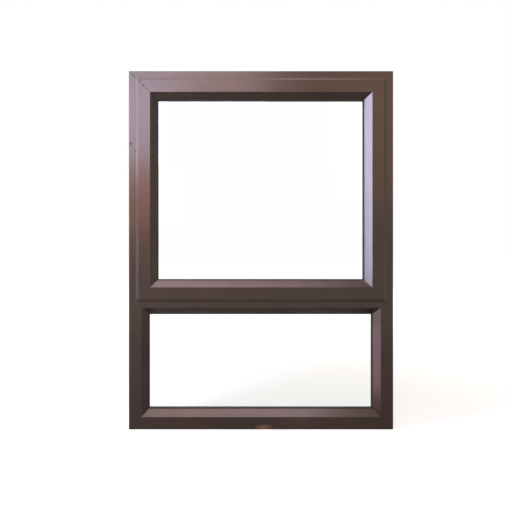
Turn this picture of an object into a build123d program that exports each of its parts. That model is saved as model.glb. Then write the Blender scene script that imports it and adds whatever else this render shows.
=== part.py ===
from build123d import *
import os

os.makedirs("parts", exist_ok=True)

# Lengths are in millimetres. X runs across the window, Z upwards from the underside of the
# sill, and Y through the window from the weather side (negative) to the room side (positive).
# A section is drawn with s, the distance inwards from the edge of a rectangle, and v, the
# depth behind the outer face of the profile it belongs to.

# outer frame and transom
width = 590
height = 800
depth = 38
frame_face = 27.5
transom_face = 26
transom_low = 271.3
wall = 1.4
arris = 0.6

# channel for fixing lugs round the outside of the frame
channel_depth = 5
channel_start = 23.9
channel_end = 32.5
channel_lip = 2

# glazing rebate, the same in the frame and in the sash, from its edge to the sight line
sight = 16.5
bead_width = 14.2
bead_depth = 15
bead_edge = 1.8
bead_wall = 1.2
bead_play = 0.15
foot_length = 3.4
clip_rib = 1.0
clip_start = 15.4
clip_height = 1.2
leg_width = 14.8
leg_wall = 1.6
leg_back = 26.5
groove_width = 4.2
groove_rib = 1.3
groove_depth = 1.9
glass_thickness = 4
glass_start = 17
glass_play = 4.5
gasket_play = 0.1
gasket_bearing = 6
gasket_nose = 0.9

# opening sash
lap = 12
proud = 6
lip_width = 6
lip_edge = 1.2
lip_gap = 1.2
sash_face = 32.5
seal_width = 4
seal_from_edge = 7
seal_rib = 1.2
seal_rib_height = 1.6

# joints between lengths
mitre_gap = 0.1
sash_mitre_gap = 0.2

# friction stays, one in the space between each jamb and its stile
stay_top_gap = 6
stay_depth = 8
track_length = 250
track_width = 14
track_wall = 1.2
track_height = 2.8
slider_length = 34
slider_place = 74
arm_width = 11
arm_thickness = 2
long_arm_reach = 150
short_arm_place = 22
short_arm_reach = 78
sash_bar_thickness = 2.4
sash_bar_inset = 10
stay_play = 0.2
stay_pin_radius = 2.5
stay_screw_radius = 2.1
stay_screw_places = (40, 125, 238)

# fixing holes through the jambs
fixing_radius = 2.5
fixing_low = 150
fixing_high = 650
fixing_depth = 19.8

# handle on the bottom rail of the sash, and its strike plate on the transom
handle_base_length = 80
handle_margin = 2.75
lever_reach = 78
lever_boss_radius = 7.4
lever_neck_radius = 3.6
lever_tip_radius = 5.4
lever_thickness = 5.5
lever_rise = 5
lever_lift = 0.2
nose_play = 0.2
nose_width = 9
nose_drop = 20
pivot_radius = 3
pivot_play = 0.1
pivot_head_radius = 4.6
pivot_head_height = 1.2
screw_radius = 1.8
screw_head_radius = 3.4
screw_head_height = 1.5
screw_play = 0.15
screw_spacing = 62
strike_length = 26
strike_height = 11
strike_thickness = 1.3

# sizes that follow from the ones above
rebate_width = width - 2 * frame_face
transom_top = transom_low + transom_face
long_arm_layer = track_height + stay_play
short_arm_layer = long_arm_layer + arm_thickness + stay_play
sash_bar_layer = short_arm_layer + arm_thickness + stay_play
sash_bar_outside = sash_bar_layer + sash_bar_thickness
short_arm_end = short_arm_place + short_arm_reach
long_arm_end = slider_place + long_arm_reach
stay_space = sash_bar_outside + stay_play
sash_member = sash_face + sight
sash_width = rebate_width + 2 * lap
sash_low = transom_top - lap
sash_height = height - frame_face + lap - sash_low
leg_front = leg_back - leg_wall
rib_front = leg_front - groove_depth
glass_end = glass_start + glass_thickness
sash_back = leg_back - proud
handle_base_width = sash_face - lap - 2 * handle_margin
handle_from_sight = (sash_face - lap) / 2
handle_base_height = proud + strike_thickness + nose_play - lever_lift
screw_length = handle_base_height + leg_wall

# how far a cutter reaches past the profile that it cuts
reach = 80

# each rectangle has its width, its height and the height of its lower edge
frame_rim = (width, height, 0)
fixed_rebate = (rebate_width, transom_low - frame_face, frame_face)
upper_rebate = (rebate_width, height - frame_face - transom_top, transom_top)
sash_rim = (sash_width, sash_height, sash_low)
sash_rebate = (
    sash_width - 2 * sash_face,
    sash_height - 2 * sash_face,
    sash_low + sash_face,
)


def area(s_start, s_end, v_start, v_end):
    """A rectangle of a section, between two distances and two depths."""
    centre = Pos((s_start + s_end) / 2, (v_start + v_end) / 2)
    return centre * Rectangle(s_end - s_start, v_end - v_start)


def outline(*points):
    """A closed straight-sided shape of a section."""
    return Polygon(*points, align=None)


def soften(sketch, radius, *points):
    """The section with the corners at the given points rounded."""
    corners = [
        corner
        for corner in sketch.vertices()
        for s, v in points
        if abs(corner.X - s) < arris / 10 and abs(corner.Y - v) < arris / 10
    ]
    return fillet(corners, radius)


def run(side, rim):
    """Start corner, inward direction, run direction and length of one side of a rectangle."""
    rim_width, rim_height, low = rim
    left, right, top = -rim_width / 2, rim_width / 2, low + rim_height
    return {
        "left": ((left, low), (1, 0, 0), (0, 0, 1), rim_height),
        "right": ((right, top), (-1, 0, 0), (0, 0, -1), rim_height),
        "top": ((left, top), (0, 0, -1), (1, 0, 0), rim_width),
        "bottom": ((right, low), (0, 0, 1), (-1, 0, 0), rim_width),
    }[side]


def mitred(section, side, rim, face=0, gap=mitre_gap):
    """One length of a profile along one side of a rectangle, mitred at both ends."""
    (x, z), inwards, along, length = run(side, rim)
    outside = face - depth / 2
    start = Plane((x, outside, z), x_dir=inwards, z_dir=along)
    bar = extrude(start * section, amount=length)
    trapezium = outline(
        (gap, 0), (length - gap, 0), (length - gap - reach, reach), (gap + reach, reach)
    )
    across = Plane((x, outside - reach, z), x_dir=along, z_dir=(0, 1, 0))
    return bar & extrude(across * trapezium, amount=2 * reach)


def ring(section, rim, face=0):
    """A profile that runs round all four sides of a rectangle as one piece."""
    sides = [mitred(section, side, rim, face, 0) for side in ("left", "top", "right", "bottom")]
    return sides[0] + sides[1] + sides[2] + sides[3]


def pane(rim, face=0):
    """A sheet of glass that stands clear of the bottom of its rebate all round."""
    rim_width, rim_height, low = rim
    across = rim_width - 2 * glass_play
    upright = rim_height - 2 * glass_play
    middle = face - depth / 2 + glass_start + glass_thickness / 2
    return Pos(0, middle, low + rim_height / 2) * Box(across, glass_thickness, upright)


def rebate_section():
    """The leg behind the glass with its gasket groove, and the rib that the bead clips under."""
    inner_rib = leg_width - groove_rib - groove_width
    leg = area(0, leg_width, leg_front, leg_back)
    leg += area(leg_width - groove_rib, leg_width, rib_front, leg_front)
    leg += area(inner_rib - groove_rib, inner_rib, rib_front, leg_front)
    return leg + area(0, clip_rib, clip_start, clip_start + clip_height)


def frame_section():
    """Hollow outer frame profile with the fixing channel on its outside."""
    box = area(0, frame_face, 0, depth)
    box = soften(box, arris, (0, 0), (0, depth), (frame_face, depth))
    hollow = outline(
        (wall, wall),
        (frame_face - wall, wall),
        (frame_face - wall, depth - wall),
        (wall, depth - wall),
        (wall, channel_end + wall),
        (channel_depth + wall, channel_end + wall),
        (channel_depth + wall, channel_start - wall),
        (wall, channel_start - wall),
    )
    channel = area(wall, channel_depth, channel_start, channel_end)
    mouth = area(0, wall, channel_start + channel_lip, channel_end - channel_lip)
    return box - hollow - channel - mouth + Pos(frame_face, 0) * rebate_section()


def transom_section():
    """Hollow transom profile with a glazing leg above and a leg below."""
    box = area(0, transom_face, 0, depth)
    box = soften(box, arris, (0, depth), (transom_face, depth))
    box -= area(wall, transom_face - wall, wall, depth - wall)
    upper = Pos(transom_face, 0) * rebate_section()
    return box + upper + mirror(rebate_section(), about=Plane.YZ)


def sash_section():
    """Hollow sash profile: the lap with its splayed lip, the box and the glazing leg."""
    face = wall
    box_start = lap + stay_space
    lip = outline(
        (0, proud - lip_gap),
        (0, proud - lip_gap - lip_edge),
        (lip_width, 0),
        (box_start + wall, 0),
        (box_start + wall, face),
        (lip_width + face / 4, face),
        (face, proud - lip_gap - lip_edge / 2),
        (face, proud - lip_gap),
    )
    lip = soften(lip, arris, (0, proud - lip_gap - lip_edge), (lip_width, 0))
    box = area(box_start, sash_face, 0, leg_back)
    box -= area(box_start + wall, sash_face - wall, wall, leg_back - wall)
    first = seal_from_edge - seal_rib
    second = seal_from_edge + seal_width
    ribs = area(first, first + seal_rib, face, face + seal_rib_height)
    ribs += area(second, second + seal_rib, face, face + seal_rib_height)
    return lip + box + ribs + Pos(sash_face, 0) * rebate_section()


def bead_section():
    """Hollow splayed glazing bead with the barbed foot that clips under the rib."""
    splay = outline(
        (bead_play, 0),
        (bead_width, bead_depth - bead_edge),
        (bead_width, bead_depth),
        (bead_play, bead_depth),
    )
    foot_start = clip_rib + bead_play
    foot_end = bead_depth + foot_length
    foot = area(foot_start, foot_start + bead_wall, bead_depth - bead_wall, foot_end)
    barb = outline(
        (foot_start, clip_start + clip_height + bead_play),
        (bead_play, clip_start + clip_height + bead_play),
        (foot_start, foot_end),
    )
    return splay - offset(splay, amount=-bead_wall) + foot + barb


def outer_gasket_section():
    """Wedge of rubber between the bead and the glass, with a nose beside the bead's tip."""
    tip = bead_width + gasket_play
    return outline(
        (sight - gasket_bearing, bead_depth),
        (tip, bead_depth),
        (tip, bead_depth - gasket_nose),
        (sight - gasket_nose, bead_depth - gasket_nose),
        (sight, bead_depth),
        (sight, glass_start),
        (sight - gasket_bearing, glass_start),
    )


def groove_fill():
    """Start and end of what stands in the groove of a leg."""
    end = leg_width - groove_rib - gasket_play
    return end - groove_width + 2 * gasket_play, end


def inner_gasket_section():
    """Rubber that stands in the groove of the leg and bears on the back of the glass."""
    start, end = groove_fill()
    head = rib_front - gasket_play
    base = area(start, end, head, leg_front)
    nose = outline(
        (start, glass_end),
        (sight, glass_end),
        (sight, head),
        (sight - gasket_nose, head + gasket_nose),
        (leg_width + gasket_play, head + gasket_nose),
        (leg_width + gasket_play, head),
        (start, head),
    )
    return base + nose


def inner_seal_section():
    """Rubber that stands in the groove of the frame and bears on the back of the sash."""
    start, end = groove_fill()
    return area(start, end, sash_back, leg_front)


def outer_seal_section():
    """Rubber between the ribs of the lap that bears on the outer face of the frame."""
    start = seal_from_edge + gasket_play
    end = seal_from_edge + seal_width - gasket_play
    return area(start, end, wall, proud)


def fixing_hole(side, low):
    """A drill across one jamb for a fixing screw."""
    x = side * (width - frame_face) / 2
    y = fixing_depth - depth / 2
    return Pos(x, y, low) * Rot(0, 90, 0) * Cylinder(fixing_radius, frame_face + reach)


def transom_notch(side):
    """The space that the end of the transom needs in the rebate of one jamb."""
    edge = rebate_width / 2
    mouth = leg_width + 1
    inner = edge - mouth
    notch = outline(
        (edge, transom_low - mitre_gap),
        (edge, transom_top + mitre_gap),
        (inner, transom_top + mouth + mitre_gap),
        (inner, transom_low - mouth - mitre_gap),
    )
    across = Plane((0, depth, 0), x_dir=(1, 0, 0), z_dir=(0, -1, 0))
    cutter = extrude(across * notch, amount=2 * depth)
    return cutter if side > 0 else mirror(cutter, about=Plane.YZ)


def jamb(side):
    """One upright of the outer frame, notched for the transom and drilled for its fixings."""
    name = "right" if side > 0 else "left"
    length = mitred(frame_section(), name, frame_rim)
    length -= transom_notch(side)
    return length - fixing_hole(side, fixing_low) - fixing_hole(side, fixing_high)


def transom():
    """The rail between the two lights, with its legs mitred into the notches of the jambs."""
    outside = -depth / 2
    start = Plane((width / 2, outside, transom_low), x_dir=(0, 0, 1), z_dir=(-1, 0, 0))
    bar = extrude(start * transom_section(), amount=width)
    end = rebate_width / 2 - mitre_gap
    tip = end - leg_width
    low, top = transom_low, transom_top
    shape = outline(
        (end, low),
        (end, top),
        (tip, top + leg_width),
        (-tip, top + leg_width),
        (-end, top),
        (-end, low),
        (-tip, low - leg_width),
        (tip, low - leg_width),
    )
    across = Plane((0, depth, 0), x_dir=(1, 0, 0), z_dir=(0, -1, 0))
    return bar & extrude(across * shape, amount=2 * depth)


# the handle lies along the bottom rail, on the room side of its glazing leg
handle_plane = Plane(
    (0, sash_back - depth / 2, sash_low + sash_member - handle_from_sight),
    x_dir=(-1, 0, 0),
    z_dir=(0, 1, 0),
)


def handle_screw_places():
    """Where the two screws of the handle stand, on the plane of its base."""
    return Locations((-screw_spacing / 2, 0), (screw_spacing / 2, 0))


def handle_base():
    """Base of the handle with its two sunk screw holes and the hole of the pivot."""
    plate = SlotOverall(handle_base_length, handle_base_width)
    base = extrude(plate, handle_base_height)
    base = chamfer(base.faces().sort_by(Axis.Z)[-1].edges(), arris)
    sink = screw_head_height + screw_play
    for place in handle_screw_places():
        base -= place * extrude(Circle(screw_radius + screw_play), handle_base_height)
        top = Pos(0, 0, handle_base_height - sink)
        base -= place * top * extrude(Circle(screw_head_radius + screw_play), sink)
    return handle_plane * (base - extrude(Circle(pivot_radius + pivot_play), handle_base_height))


def handle_screw(index):
    """One sunk screw of the handle."""
    place = list(handle_screw_places())[index]
    top = Pos(0, 0, handle_base_height - screw_head_height)
    screw = extrude(Circle(screw_head_radius), screw_head_height)
    screw += extrude(Circle(screw_radius), -(screw_length - screw_head_height))
    return handle_plane * place * top * screw


def handle_lever():
    """Lever that lies along the rail and rises towards its tip, with the nose at its pivot."""
    neck = Pos(-2 * lever_boss_radius, 0) * Circle(lever_neck_radius)
    tip = Pos(-lever_reach, 0) * Circle(lever_tip_radius)
    plan = make_hull((Circle(lever_boss_radius) + neck).edges())
    plan += make_hull((neck + tip).edges())
    arm = extrude(plan, lever_thickness + lever_rise)
    foot, end = lever_boss_radius, lever_reach + lever_tip_radius
    low_line = Spline((-foot, 0), (-end, lever_rise), tangents=((-1, 0), (-1, 0)))
    high_line = Spline(
        (-end, lever_rise + lever_thickness),
        (-foot, lever_thickness),
        tangents=((1, 0), (1, 0)),
    )
    side = Curve() + [
        low_line,
        Line((-end, lever_rise), (-end, lever_rise + lever_thickness)),
        high_line,
        Line((-foot, lever_thickness), (foot, lever_thickness)),
        Line((foot, lever_thickness), (foot, 0)),
        Line((foot, 0), (-foot, 0)),
    ]
    upright = Plane((0, lever_boss_radius, 0), x_dir=(1, 0, 0), z_dir=(0, -1, 0))
    lever = arm & extrude(upright * make_face(side), amount=2 * lever_boss_radius)
    nose = Pos(0, -nose_drop / 2) * Rectangle(nose_width, nose_drop)
    nose = extrude(nose, lever_thickness)
    lever += chamfer(nose.faces().sort_by(Axis.Y)[0].edges(), arris)
    lever -= extrude(Circle(pivot_radius + pivot_play), lever_thickness)
    return handle_plane * Pos(0, 0, handle_base_height + lever_lift) * lever


def handle_pivot():
    """Rivet that holds the lever on the base."""
    length = handle_base_height + lever_lift + lever_thickness + pivot_play
    pin = extrude(Circle(pivot_radius), length - pivot_play)
    head = extrude(Circle(pivot_head_radius), pivot_head_height)
    head = chamfer(head.faces().sort_by(Axis.Z)[-1].edges(), arris / 2)
    return handle_plane * (Pos(0, 0, pivot_play) * pin + Pos(0, 0, length) * head)


def strike_plate():
    """Plate on the leg of the transom that the nose of the handle draws against."""
    low = transom_top + leg_width / 2
    middle = leg_back + strike_thickness / 2 - depth / 2
    return Pos(0, middle, low) * Box(strike_length, strike_thickness, strike_height)


def sash_bottom_rail():
    """Bottom rail of the sash, drilled for the screws of the handle."""
    rail = mitred(sash_section(), "bottom", sash_rim, -proud, sash_mitre_gap)
    for place in handle_screw_places():
        drill = Pos(0, 0, -leg_wall) * extrude(Circle(screw_radius + screw_play), leg_wall)
        rail -= handle_plane * place * drill
    return rail


def stay_plane(side):
    """Plane on the wall of one jamb at the top of its stay, with x down and z towards the sash."""
    start = (side * rebate_width / 2, stay_depth - depth / 2, height - frame_face - stay_top_gap)
    return Plane(start, x_dir=(0, 0, -1), z_dir=(-side, 0, 0))


def stay_strip(start, length, thickness):
    """A flat strip with round ends round two pivots, from the first one at start."""
    return Pos(start + length / 2, 0) * extrude(SlotCenterToCenter(length, arm_width), thickness)


def stay_pin(place, low, high, play=0):
    """A pivot pin of the stay, or with play the hole that it turns in."""
    return Pos(place, 0, low) * extrude(Circle(stay_pin_radius + play), high - low)


def stay_track():
    """Channel on the jamb that the slider runs in, with its screw holes and its fixed pin."""
    flange = track_height - track_wall
    track = Pos(track_length / 2, 0, track_wall / 2) * Box(track_length, track_width, track_wall)
    for edge in (-1, 1):
        y = edge * (track_width - track_wall) / 2
        z = track_wall + flange / 2
        track += Pos(track_length / 2, y, z) * Box(track_length, track_wall, flange)
    for place in stay_screw_places:
        track -= Pos(place, 0) * extrude(Circle(stay_screw_radius), track_wall)
    return track + stay_pin(short_arm_place, track_wall, short_arm_layer + arm_thickness)


def stay_slider():
    """Shoe that runs in the track and carries the long arm on its pin."""
    low = track_wall + stay_play / 2
    width_inside = track_width - 2 * track_wall - stay_play
    shoe = Box(slider_length, width_inside, track_height - low)
    shoe = Pos(slider_place, 0, (track_height + low) / 2) * shoe
    return shoe + stay_pin(slider_place, track_height, long_arm_layer + arm_thickness)


def stay_long_arm():
    """Arm from the slider to the far end of the sash bar."""
    arm = Pos(0, 0, long_arm_layer) * stay_strip(slider_place, long_arm_reach, arm_thickness)
    arm -= stay_pin(slider_place, long_arm_layer, short_arm_layer, stay_play / 2)
    return arm + stay_pin(long_arm_end, long_arm_layer + arm_thickness, sash_bar_outside)


def stay_short_arm():
    """Arm from the fixed pin of the track to the near end of the sash bar."""
    arm = Pos(0, 0, short_arm_layer) * stay_strip(short_arm_place, short_arm_reach, arm_thickness)
    arm -= stay_pin(short_arm_place, short_arm_layer, sash_bar_layer, stay_play / 2)
    return arm + stay_pin(short_arm_end, short_arm_layer + arm_thickness, sash_bar_outside)


def stay_sash_bar():
    """Bar on the stile that both arms turn on."""
    length = track_length - 2 * sash_bar_inset
    middle = (sash_bar_layer + sash_bar_outside) / 2
    bar = Pos(track_length / 2, 0, middle) * Box(length, track_width, sash_bar_thickness)
    for place in (short_arm_end, long_arm_end):
        bar -= stay_pin(place, sash_bar_layer, sash_bar_outside, stay_play / 2)
    return bar


pieces = {
    "frame_head": mitred(frame_section(), "top", frame_rim),
    "frame_sill": mitred(frame_section(), "bottom", frame_rim),
    "frame_jamb_left": jamb(-1),
    "frame_jamb_right": jamb(1),
    "transom": transom(),
    "sash_top_rail": mitred(sash_section(), "top", sash_rim, -proud, sash_mitre_gap),
    "sash_bottom_rail": sash_bottom_rail(),
    "sash_stile_left": mitred(sash_section(), "left", sash_rim, -proud, sash_mitre_gap),
    "sash_stile_right": mitred(sash_section(), "right", sash_rim, -proud, sash_mitre_gap),
    "sash_glass": pane(sash_rebate, -proud),
    "fixed_glass": pane(fixed_rebate),
    "sash_gasket_outer": ring(outer_gasket_section(), sash_rebate, -proud),
    "sash_gasket_inner": ring(inner_gasket_section(), sash_rebate, -proud),
    "fixed_gasket_outer": ring(outer_gasket_section(), fixed_rebate),
    "fixed_gasket_inner": ring(inner_gasket_section(), fixed_rebate),
    "weather_seal_outer": ring(outer_seal_section(), sash_rim, -proud),
    "weather_seal_inner": ring(inner_seal_section(), upper_rebate),
    "handle_base": handle_base(),
    "handle_lever": handle_lever(),
    "handle_pivot": handle_pivot(),
    "handle_screw_left": handle_screw(0),
    "handle_screw_right": handle_screw(1),
    "strike_plate": strike_plate(),
}
for side in ("top", "bottom", "left", "right"):
    pieces["sash_bead_" + side] = mitred(bead_section(), side, sash_rebate, -proud)
    pieces["fixed_bead_" + side] = mitred(bead_section(), side, fixed_rebate)
for side, end in ((-1, "_left"), (1, "_right")):
    pieces["stay_track" + end] = stay_plane(side) * stay_track()
    pieces["stay_slider" + end] = stay_plane(side) * stay_slider()
    pieces["stay_long_arm" + end] = stay_plane(side) * stay_long_arm()
    pieces["stay_short_arm" + end] = stay_plane(side) * stay_short_arm()
    pieces["stay_sash_bar" + end] = stay_plane(side) * stay_sash_bar()

for name, piece in pieces.items():
    export_step(piece, "parts/" + name + ".step")
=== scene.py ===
from math import pi, radians

import bmesh
import bpy
from mathutils import Matrix, Vector


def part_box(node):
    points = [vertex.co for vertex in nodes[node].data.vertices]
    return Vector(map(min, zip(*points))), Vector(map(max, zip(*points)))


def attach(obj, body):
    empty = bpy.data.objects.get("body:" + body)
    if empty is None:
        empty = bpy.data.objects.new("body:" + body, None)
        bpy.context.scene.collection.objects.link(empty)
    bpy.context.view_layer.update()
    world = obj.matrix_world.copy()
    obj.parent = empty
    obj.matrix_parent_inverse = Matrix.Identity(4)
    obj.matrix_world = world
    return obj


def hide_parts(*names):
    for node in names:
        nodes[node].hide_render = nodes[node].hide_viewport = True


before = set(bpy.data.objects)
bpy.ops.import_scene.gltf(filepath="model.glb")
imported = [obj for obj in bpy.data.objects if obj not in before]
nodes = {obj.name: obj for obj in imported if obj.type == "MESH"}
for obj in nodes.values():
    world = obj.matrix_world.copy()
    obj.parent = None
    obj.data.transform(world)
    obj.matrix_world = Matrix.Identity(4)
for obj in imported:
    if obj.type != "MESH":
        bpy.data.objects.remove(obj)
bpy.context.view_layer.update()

mm = 0.001

# the window's outline and outer face, and the sash's upper left corner, read from the model
jamb_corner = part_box("frame_jamb_left")[0]
window_left = jamb_corner.x
outer_face = jamb_corner.y
window_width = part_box("frame_jamb_right")[1].x - window_left
window_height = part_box("frame_head")[1].z
stile_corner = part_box("sash_stile_left")[0]
sash_left = stile_corner.x
sash_face = stile_corner.y
sash_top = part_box("sash_top_rail")[1].z

# the photograph: its size in pixels, and the window's outline in it
photo_size = 510
photo_left = 128.85
photo_bottom = 429.5
photo_window_width = 264.35

# the camera stands a little left of the middle of the window and looks straight at it
camera_distance = 1.101
camera_x = -0.085
camera_z = 0.450
sensor = 36

# the nicks and the sill's paler warm patch: the place and the half sizes of each
nick_high = (window_left + 4.7 * mm, outer_face, 637.5 * mm)
nick_high_size = (2.2 * mm, 4 * mm, 4.6 * mm)
nick_low = (window_left + 14.2 * mm, outer_face, 622 * mm)
nick_low_size = (2.4 * mm, 4 * mm, 2.4 * mm)
warm_sill_patch = (6.7 * mm, outer_face, 5 * mm)
warm_sill_patch_size = (24 * mm, 10 * mm, 7 * mm)

# painted shade in the upper left mitres: how far in from the corner each spot lies, and its half
# length
frame_mitre_shade = (10 * mm, 8 * mm)
sash_mitre_shade = ((8.9 * mm, 3.4 * mm), (17.5 * mm, 5 * mm), (27 * mm, 3.4 * mm))
frame_shade_half_width = 0.8 * mm
sash_shade_half_width = 1.1 * mm
shade_half_depth = 3 * mm
mitre_angle = 45

# the sunk screws of the handle
screw_head_height = 1.5 * mm
screw_head_easing = 0.3 * mm
screw_shank_radius = 1.8 * mm
cross_reach = 2.0 * mm
cross_depth = 1.0 * mm
cross_floor_share = 0.75

# the studio floor's half width, and where its glow starts to grow and where it is full
floor_half = 6.0
glow_start = 0.5
glow_end = 2.0

# the floor's glow near the window, for rays that are seen and for those that metal mirrors
near_glow = 0.7
near_glow_mirrored = 0.25

# the light of the room round the lamps, and the point that the lamps face
room_light = 0.12
lamp_aim = (0, outer_face, 0.55 * window_height)

# the two values that most of a noise lies between
noise_range = {"From Min": 0.3, "From Max": 0.7}


def linear(hex_colour):
    """An sRGB hex colour as the linear colour that the shaders take."""
    channels = [int(hex_colour[i:i + 2], 16) / 255 for i in (1, 3, 5)]
    return [c / 12.92 if c <= 0.04045 else ((c + 0.055) / 1.055) ** 2.4 for c in channels] + [1]


def add(tree, kind, inputs=None, **settings):
    """Adds a node with its settings, and sets or links its inputs."""
    node = tree.nodes.new(kind)
    for name, value in settings.items():
        setattr(node, name, value)
    for name, value in (inputs or {}).items():
        if isinstance(value, bpy.types.NodeSocket):
            tree.links.new(value, node.inputs[name])
        else:
            node.inputs[name].default_value = value
    return node


def new_material(name):
    """An empty node material, and the tree that its nodes go into."""
    material = bpy.data.materials.new(name)
    material.use_nodes = True
    material.node_tree.nodes.clear()
    return material, material.node_tree


def pattern(tree, size, detail=2.0):
    """Noise whose blobs are about the given size in metres along X, Y and Z."""
    place = add(tree, "ShaderNodeTexCoord").outputs["Object"]
    scale = [1 / length for length in size]
    mapped = add(tree, "ShaderNodeMapping", {"Vector": place, "Scale": scale})
    noise = add(
        tree,
        "ShaderNodeTexNoise",
        {"Vector": mapped.outputs["Vector"], "Scale": 1.0, "Detail": detail},
    )
    return noise.outputs["Fac"]


def spot(tree, place, size, turn=0):
    """1 inside an oval spot with the given half sizes, turned about Y, and 0 outside it."""
    here = add(
        tree,
        "ShaderNodeMapping",
        {
            "Vector": add(tree, "ShaderNodeTexCoord").outputs["Object"],
            "Location": place,
            "Rotation": (0, radians(turn), 0),
            "Scale": size,
        },
        vector_type="TEXTURE",
    )
    away = add(
        tree,
        "ShaderNodeVectorMath",
        {0: here.outputs["Vector"]},
        operation="LENGTH",
    )
    # the spot fades out over its outer two thirds
    inside = add(
        tree,
        "ShaderNodeMapRange",
        {
            "Value": away.outputs["Value"],
            "From Min": 0.35,
            "From Max": 1.0,
            "To Min": 1.0,
            "To Max": 0.0,
        },
    )
    return inside.outputs["Result"]


def painted_mitre_shade(tree):
    """1 on the painted shade in the upper left mitres of the frame and the sash, and 0 off it."""
    inset, half_length = frame_mitre_shade
    place = (window_left + inset, outer_face, window_height - inset)
    size = (half_length, shade_half_depth, frame_shade_half_width)
    shade_mask = spot(tree, place, size, mitre_angle)
    for inset, half_length in sash_mitre_shade:
        place = (sash_left + inset, sash_face, sash_top - inset)
        size = (half_length, shade_half_depth, sash_shade_half_width)
        spot_shade = spot(tree, place, size, mitre_angle)
        both = add(tree, "ShaderNodeMath", {0: shade_mask, 1: spot_shade}, operation="MAXIMUM")
        shade_mask = both.outputs["Value"]
    return shade_mask


def arris_wear(tree, eased):
    """1 on the edges of a bar, where the eased normal leans away from the flat one."""
    flat = add(tree, "ShaderNodeNewGeometry").outputs["Normal"]
    lean = add(tree, "ShaderNodeVectorMath", {0: eased, 1: flat}, operation="DOT_PRODUCT")
    # the wear starts at a lean of 22 degrees and is full at 34
    worn = add(
        tree,
        "ShaderNodeMapRange",
        {"Value": lean.outputs["Value"], "From Min": 0.925, "From Max": 0.825},
    )
    return worn.outputs["Result"]


def anodised_bronze(name, along):
    """Extruded aluminium, etched and anodised dark bronze.

    Light goes through a clear film to a warm brown metal, so a highlight has a wide brown glow
    with a paler sheen on it. The die leaves shallow waves and fine lines along a bar, which
    streak that glow. The etch leaves a fine grain. The film is a little paler where it is
    rubbed at the edges. The left jamb has two nicks, the sill has a paler warm patch at its
    bottom edge, and spots along the upper left mitres are darkened with painted shade. The
    lines and the grain are drawn coarser than the real ones, so that they show.
    """
    material, tree = new_material(name)

    def lengthwise(pitch, run):
        return [run if axis == along else pitch for axis in "XYZ"]

    waves = pattern(tree, lengthwise(pitch=7 * mm, run=700 * mm))
    lines = pattern(tree, lengthwise(pitch=1.1 * mm, run=260 * mm), detail=3.0)
    drift = pattern(tree, [60 * mm] * 3, detail=3.0)
    grain = pattern(tree, [0.7 * mm] * 3)
    eased = add(tree, "ShaderNodeBevel", {"Radius": 0.5 * mm}, samples=4).outputs["Normal"]

    nicks = add(
        tree,
        "ShaderNodeMath",
        {0: spot(tree, nick_high, nick_high_size), 1: spot(tree, nick_low, nick_low_size)},
        operation="MAXIMUM",
    ).outputs["Value"]
    # the two nicks, and the spots of painted shade along the upper left mitres
    nicks_and_mitre_shade = add(
        tree,
        "ShaderNodeMath",
        {0: nicks, 1: painted_mitre_shade(tree)},
        operation="MAXIMUM",
    ).outputs["Value"]

    uneven = add(tree, "ShaderNodeMapRange", {"Value": drift, **noise_range})
    film = linear("#372B23")
    for share, colour in (
        (uneven.outputs["Result"], "#3C2F26"),
        (arris_wear(tree, eased), "#54433A"),
        # the nicks are darker, and the upper left mitres get painted shade
        (nicks_and_mitre_shade, "#1C1512"),
        # a paler warm patch at the bottom edge of the sill
        (spot(tree, warm_sill_patch, warm_sill_patch_size), "#6C5032"),
    ):
        film = add(
            tree,
            "ShaderNodeMix",
            {"Factor": share, "A": film, "B": linear(colour)},
            data_type="RGBA",
        ).outputs["Result"]

    clean_roughness = add(
        tree,
        "ShaderNodeMapRange",
        {"Value": lines, **noise_range, "To Min": 0.32, "To Max": 0.39},
    )
    roughness = add(
        tree,
        "ShaderNodeMapRange",
        {"Value": nicks_and_mitre_shade, "To Min": clean_roughness.outputs["Result"], "To Max": 0.6},
    )
    coat = add(tree, "ShaderNodeMapRange", {"Value": nicks_and_mitre_shade, "To Min": 0.5, "To Max": 0.1})

    relief = eased
    for height, depth in (
        (waves, 0.14 * mm),
        (lines, 0.012 * mm),
        (grain, 0.01 * mm),
        (nicks, -0.15 * mm),
    ):
        bump = add(tree, "ShaderNodeBump", {"Height": height, "Distance": depth, "Normal": relief})
        relief = bump.outputs["Normal"]

    shader = add(
        tree,
        "ShaderNodeBsdfPrincipled",
        {
            "Base Color": film,
            "Metallic": 1.0,
            "Roughness": roughness.outputs["Result"],
            "Normal": relief,
            "Coat Weight": coat.outputs["Result"],
            "Coat Roughness": 0.2,
        },
    )
    add(tree, "ShaderNodeOutputMaterial", {"Surface": shader.outputs["BSDF"]})
    return material


def mottled(name, size, detail, colour, roughness, depth, **settings):
    """A finish of one colour, which one noise makes uneven in roughness and in height."""
    material, tree = new_material(name)
    mottle = pattern(tree, size, detail)
    rough = add(
        tree,
        "ShaderNodeMapRange",
        {"Value": mottle, **noise_range, "To Min": roughness[0], "To Max": roughness[1]},
    )
    bump = add(tree, "ShaderNodeBump", {"Height": mottle, "Distance": depth})
    shader = add(
        tree,
        "ShaderNodeBsdfPrincipled",
        {
            "Base Color": linear(colour),
            "Roughness": rough.outputs["Result"],
            "Normal": bump.outputs["Normal"],
            **settings,
        },
    )
    add(tree, "ShaderNodeOutputMaterial", {"Surface": shader.outputs["BSDF"]})
    return material


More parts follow.
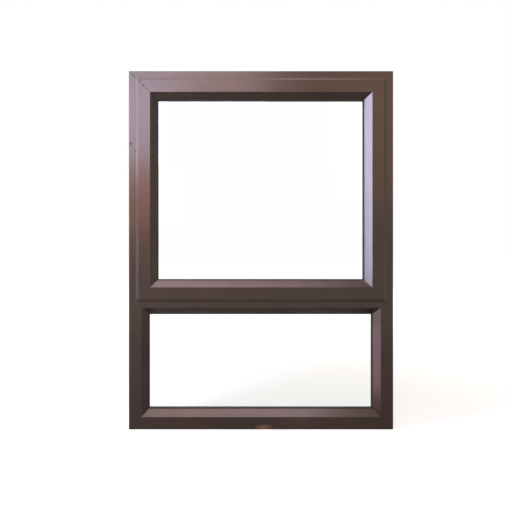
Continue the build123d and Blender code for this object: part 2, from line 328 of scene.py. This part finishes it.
def black_rubber():
    """Extruded EPDM: matt black with a fine pebbled skin, slightly greyed by dust."""
    material, tree = new_material("epdm_rubber_extruded")
    dust = pattern(tree, [25 * mm] * 3, detail=4.0)
    pebble = pattern(tree, [0.5 * mm] * 3)
    dusty = add(tree, "ShaderNodeMapRange", {"Value": dust, **noise_range})
    colour = add(
        tree,
        "ShaderNodeMix",
        {"Factor": dusty.outputs["Result"], "A": linear("#141313"), "B": linear("#211F1E")},
        data_type="RGBA",
    )
    rough = add(
        tree,
        "ShaderNodeMapRange",
        {"Value": dust, **noise_range, "To Min": 0.62, "To Max": 0.78},
    )
    bump = add(tree, "ShaderNodeBump", {"Height": pebble, "Distance": 0.02 * mm})
    shader = add(
        tree,
        "ShaderNodeBsdfPrincipled",
        {
            "Base Color": colour.outputs["Result"],
            "Roughness": rough.outputs["Result"],
            "Normal": bump.outputs["Normal"],
        },
    )
    add(tree, "ShaderNodeOutputMaterial", {"Surface": shader.outputs["BSDF"]})
    return material


def float_glass():
    """Clear float glass: flat, polished by the fire and with a trace of green."""
    material, tree = new_material("float_glass_clear")
    haze = pattern(tree, [70 * mm] * 3, detail=3.0)
    rough = add(
        tree,
        "ShaderNodeMapRange",
        {"Value": haze, **noise_range, "To Min": 0.0, "To Max": 0.012},
    )
    shader = add(
        tree,
        "ShaderNodeBsdfPrincipled",
        {
            "Base Color": linear("#FDFFFE"),
            "Roughness": rough.outputs["Result"],
            "IOR": 1.5,
            "Transmission Weight": 1.0,
        },
    )
    add(tree, "ShaderNodeOutputMaterial", {"Surface": shader.outputs["BSDF"]})
    return material


def cast_handle_paint():
    """Powder paint on die-cast zinc: dark bronze, with a soft orange peel."""
    return mottled(
        "zinc_die_cast_powder_coated",
        size=[1.6 * mm] * 3,
        detail=1.0,
        colour="#3E342E",
        roughness=(0.38, 0.46),
        depth=0.03 * mm,
    )


def brushed_stainless():
    """Pressed stainless steel, lightly brushed across, which splits a highlight into lines.

    The lines are drawn coarser than the real ones, so that they show.
    """
    return mottled(
        "stainless_steel_brushed",
        size=(40 * mm, 40 * mm, 0.5 * mm),
        detail=2.0,
        colour="#C6C2BB",
        roughness=(0.26, 0.4),
        depth=0.01 * mm,
        Metallic=1.0,
    )


def screw_steel():
    """Cold-headed stainless screws: bright, with the faint mottle of the punch."""
    return mottled(
        "stainless_steel_cold_headed",
        size=[1.5 * mm] * 3,
        detail=2.0,
        colour="#C6C2BB",
        roughness=(0.24, 0.36),
        depth=0.01 * mm,
        Metallic=1.0,
    )


def dress(material, *names):
    """Gives CAD nodes one material."""
    for name in names:
        mesh = nodes[name].data
        mesh.materials.clear()
        mesh.materials.append(material)


def paint_window():
    """Gives every CAD node its finish."""
    level = anodised_bronze("anodised_aluminium_bronze_level", "X")
    upright = anodised_bronze("anodised_aluminium_bronze_upright", "Z")
    rubber = black_rubber()
    steel = brushed_stainless()
    for name in nodes:
        if name.startswith(("handle", "stay", "strike")):
            dress(steel, name)
        elif name.endswith(("_left", "_right")):
            dress(upright, name)
        elif "gasket" in name or "seal" in name:
            dress(rubber, name)
        else:
            dress(level, name)
    dress(float_glass(), "sash_glass", "fixed_glass")
    dress(cast_handle_paint(), "handle_base", "handle_lever")


def cross_screw(name, material):
    """The sunk screw of a CAD node again, with a cross recess for the driver in its head.

    It is made with its head up and its face at the origin, and then laid on the handle's base.
    """
    low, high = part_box(name)
    shape = bmesh.new()
    # a grid of nine faces without its corners is the cross
    bmesh.ops.create_grid(shape, x_segments=3, y_segments=3, size=cross_reach)
    slot = cross_reach / 3
    corners = [
        face
        for face in shape.faces
        if min(abs(axis) for axis in face.calc_center_median()[:2]) > slot
    ]
    bmesh.ops.delete(shape, geom=corners, context="FACES")
    cross = shape.faces[:]
    outline = [edge for edge in shape.edges if edge.is_boundary]

    rim = bmesh.ops.create_circle(shape, segments=32, radius=(high.x - low.x) / 2)["verts"]
    rim_edges = list({edge for vertex in rim for edge in vertex.link_edges})
    bmesh.ops.triangle_fill(shape, use_beauty=True, edges=outline + rim_edges)
    side = bmesh.ops.extrude_edge_only(shape, edges=rim_edges)["geom"]
    foot = [item for item in side if isinstance(item, bmesh.types.BMVert)]
    bmesh.ops.translate(shape, verts=foot, vec=(0, 0, -screw_head_height))
    foot_edges = [item for item in side if isinstance(item, bmesh.types.BMEdge)]
    bmesh.ops.holes_fill(shape, edges=[edge for edge in foot_edges if edge.is_boundary])

    recess = bmesh.ops.extrude_face_region(shape, geom=cross)["geom"]
    bmesh.ops.delete(shape, geom=cross, context="FACES")
    recess_floor = [item for item in recess if isinstance(item, bmesh.types.BMVert)]
    taper = (cross_floor_share, cross_floor_share, 1)
    bmesh.ops.scale(shape, verts=recess_floor, vec=taper)
    bmesh.ops.translate(shape, verts=recess_floor, vec=(0, 0, -cross_depth))
    bmesh.ops.bevel(
        shape,
        geom=rim_edges,
        offset=screw_head_easing,
        segments=2,
        profile=0.5,
        affect="EDGES",
        material=-1,
    )

    shank_length = high.y - low.y - screw_head_height
    bmesh.ops.create_cone(
        shape,
        cap_ends=True,
        segments=24,
        radius1=screw_shank_radius,
        radius2=screw_shank_radius,
        depth=shank_length,
        matrix=Matrix.Translation((0, 0, -screw_head_height - shank_length / 2)),
    )
    middle = (low + high) / 2
    bmesh.ops.rotate(shape, verts=shape.verts, matrix=Matrix.Rotation(radians(-90), 3, "X"))
    bmesh.ops.translate(shape, verts=shape.verts, vec=(middle.x, high.y, middle.z))
    bmesh.ops.recalc_face_normals(shape, faces=shape.faces)

    mesh = bpy.data.meshes.new("cross_" + name)
    shape.to_mesh(mesh)
    shape.free()
    mesh.materials.append(material)
    screw = bpy.data.objects.new("cross_" + name, mesh)
    bpy.context.collection.objects.link(screw)
    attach(screw, "root")
    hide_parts(name)


def seen_white(tree):
    """1 for the rays that carry the background to the camera, straight or by metal or glass."""
    path = add(tree, "ShaderNodeLightPath")
    straight_or_metal = add(
        tree,
        "ShaderNodeMath",
        {0: path.outputs["Is Camera Ray"], 1: path.outputs["Is Glossy Ray"]},
        operation="MAXIMUM",
    )
    seen = add(
        tree,
        "ShaderNodeMath",
        {0: straight_or_metal.outputs["Value"], 1: path.outputs["Is Transmission Ray"]},
        operation="MAXIMUM",
    )
    return seen.outputs["Value"]


def floor_paint():
    """Matt white floor.

    The lamps light the floor round the window, so it keeps the window's shadow. Further out,
    where their light fades, the floor itself shines for the rays that are seen. Near the
    window it shines less for the rays that the metal mirrors, so the low bars stay dark.
    """
    material, tree = new_material("studio_floor_matt_white")
    place = add(tree, "ShaderNodeTexCoord").outputs["Object"]
    away = add(tree, "ShaderNodeVectorMath", {0: place}, operation="LENGTH")
    path = add(tree, "ShaderNodeLightPath")
    # a ray through glass can count as glossy too, and isn't a mirrored one
    mirrored = add(
        tree,
        "ShaderNodeMath",
        {0: path.outputs["Is Glossy Ray"], 1: path.outputs["Is Transmission Ray"]},
        operation="GREATER_THAN",
    )
    near = add(
        tree,
        "ShaderNodeMapRange",
        {
            "Value": mirrored.outputs["Value"],
            "To Min": near_glow,
            "To Max": near_glow_mirrored,
        },
    )
    glow = add(
        tree,
        "ShaderNodeMapRange",
        {
            "Value": away.outputs["Value"],
            "From Min": glow_start,
            "From Max": glow_end,
            "To Min": near.outputs["Result"],
            "To Max": 1.0,
        },
    )
    strength = add(
        tree,
        "ShaderNodeMath",
        {0: seen_white(tree), 1: glow.outputs["Result"]},
        operation="MULTIPLY",
    )
    diffuse = add(tree, "ShaderNodeBsdfDiffuse", {"Color": linear("#A8A194")})
    lift = add(tree, "ShaderNodeEmission", {"Strength": strength.outputs["Value"]})
    both = add(
        tree,
        "ShaderNodeAddShader",
        {0: diffuse.outputs["BSDF"], 1: lift.outputs["Emission"]},
    )
    add(tree, "ShaderNodeOutputMaterial", {"Surface": both.outputs["Shader"]})
    return material


def build_floor():
    """A square floor under the window."""
    mesh = bpy.data.meshes.new("studio_floor")
    shape = bmesh.new()
    bmesh.ops.create_grid(shape, x_segments=1, y_segments=1, size=floor_half)
    shape.to_mesh(mesh)
    shape.free()
    mesh.materials.append(floor_paint())
    floor = bpy.data.objects.new("studio_floor", mesh)
    bpy.context.collection.objects.link(floor)


def build_world():
    """A world that is white where it is seen, and lights the window as a dim room."""
    world = bpy.data.worlds.new("studio_world")
    world.use_nodes = True
    tree = world.node_tree
    tree.nodes.clear()
    room = add(
        tree,
        "ShaderNodeBackground",
        {"Color": linear("#F4F4FF"), "Strength": room_light},
    )
    white = add(tree, "ShaderNodeBackground", {"Color": linear("#FFFFFF"), "Strength": 1.0})
    mixed = add(
        tree,
        "ShaderNodeMixShader",
        {0: seen_white(tree), 1: room.outputs["Background"], 2: white.outputs["Background"]},
    )
    add(tree, "ShaderNodeOutputWorld", {"Surface": mixed.outputs["Shader"]})
    bpy.context.scene.world = world


def softbox(name, place, size, radiance, colour, aim=lamp_aim):
    """A soft lamp that faces the window or its aim, as bright to look at as its radiance."""
    width, height = size
    lamp = bpy.data.lights.new(name, "AREA")
    lamp.shape = "RECTANGLE"
    lamp.size = width
    lamp.size_y = height
    lamp.energy = radiance * pi * width * height
    lamp.color = linear(colour)[:3]
    lamp_object = bpy.data.objects.new(name, lamp)
    lamp_object.visible_camera = False
    lamp_object.visible_transmission = False
    bpy.context.collection.objects.link(lamp_object)
    turn = (Vector(aim) - Vector(place)).to_track_quat("-Z", "Y")
    lamp_object.matrix_world = Matrix.LocRotScale(Vector(place), turn, None)


def build_lamps():
    """Soft lamps at the left, in front, above and behind, with places and sizes in metres."""
    # the sash's right bead mirrors the tall one, and the sash's left edge the fainter one
    softbox(
        "lamp_tall_left",
        place=(-0.85, -0.47, 0.635),
        size=(0.17, 0.97),
        radiance=34,
        colour="#C6D4FF",
    )
    softbox(
        "lamp_high_left",
        place=(-1.2, -0.36, 0.98),
        size=(0.2, 0.66),
        radiance=12,
        colour="#E6D4FA",
    )
    # the pale sheen of the top and left bars dies away to the right, and the warm lamp under
    # it turns it brown downwards
    softbox(
        "lamp_front_left",
        place=(-0.69, -1.9, 1.16),
        size=(0.6, 0.62),
        radiance=13.2,
        colour="#D7DBFF",
    )
    softbox(
        "lamp_front_top",
        place=(-0.1, -1.95, 1.5),
        size=(0.6, 0.6),
        radiance=7.2,
        colour="#F8DEEE",
    )
    softbox(
        "lamp_low_left",
        place=(-0.62, -1.9, 0.65),
        size=(0.6, 0.4),
        radiance=3.5,
        colour="#FFA176",
    )
    # a weak warm one keeps the right bars brown
    softbox(
        "lamp_front_right",
        place=(0.9, -1.9, 1.08),
        size=(0.7, 1.0),
        radiance=1.3,
        colour="#FFC6A0",
    )
    # the beads at the bottom mirror these
    softbox(
        "lamp_above",
        place=(-0.1, -0.57, 2.0),
        size=(1.4, 0.6),
        radiance=6.1,
        colour="#F8E8FF",
    )
    softbox(
        "lamp_above_front",
        place=(-0.4, -1.5, 2.3),
        size=(0.9, 0.9),
        radiance=1.4,
        colour="#FFE6DE",
    )
    # the right bead of the lower light mirrors a small card that stands low before it, turned
    # a little outwards so that it lights the bars less
    softbox(
        "card_low_bead",
        place=(0.05, -0.09, 0.095),
        size=(0.09, 0.18),
        radiance=2.9,
        colour="#F4CEF8",
        aim=(0.25, -0.13, 0.1),
    )
    # this one lights the room side
    softbox(
        "lamp_behind",
        place=(0.9, 2.2, 1.4),
        size=(1.2, 1.2),
        radiance=7.0,
        colour="#FFFFFF",
    )


def build_camera():
    """The photograph's camera: level, straight on, framed by a small shift."""
    pixels_per_metre = photo_window_width / window_width
    principal_x = photo_left + (camera_x + window_width / 2) * pixels_per_metre
    principal_y = photo_bottom - camera_z * pixels_per_metre
    lens = bpy.data.cameras.new("camera")
    lens.sensor_width = sensor
    lens.lens = sensor * camera_distance * pixels_per_metre / photo_size
    lens.shift_x = (photo_size / 2 - principal_x) / photo_size
    lens.shift_y = (principal_y - photo_size / 2) / photo_size
    camera = bpy.data.objects.new("camera", lens)
    camera.location = (camera_x, outer_face - camera_distance, camera_z)
    camera.rotation_euler = (radians(90), 0, 0)
    bpy.context.collection.objects.link(camera)
    bpy.context.scene.camera = camera


paint_window()
bright_steel = screw_steel()
cross_screw("handle_screw_left", bright_steel)
cross_screw("handle_screw_right", bright_steel)
build_floor()
build_world()
build_lamps()
build_camera()
bpy.context.scene.view_settings.view_transform = "Standard"
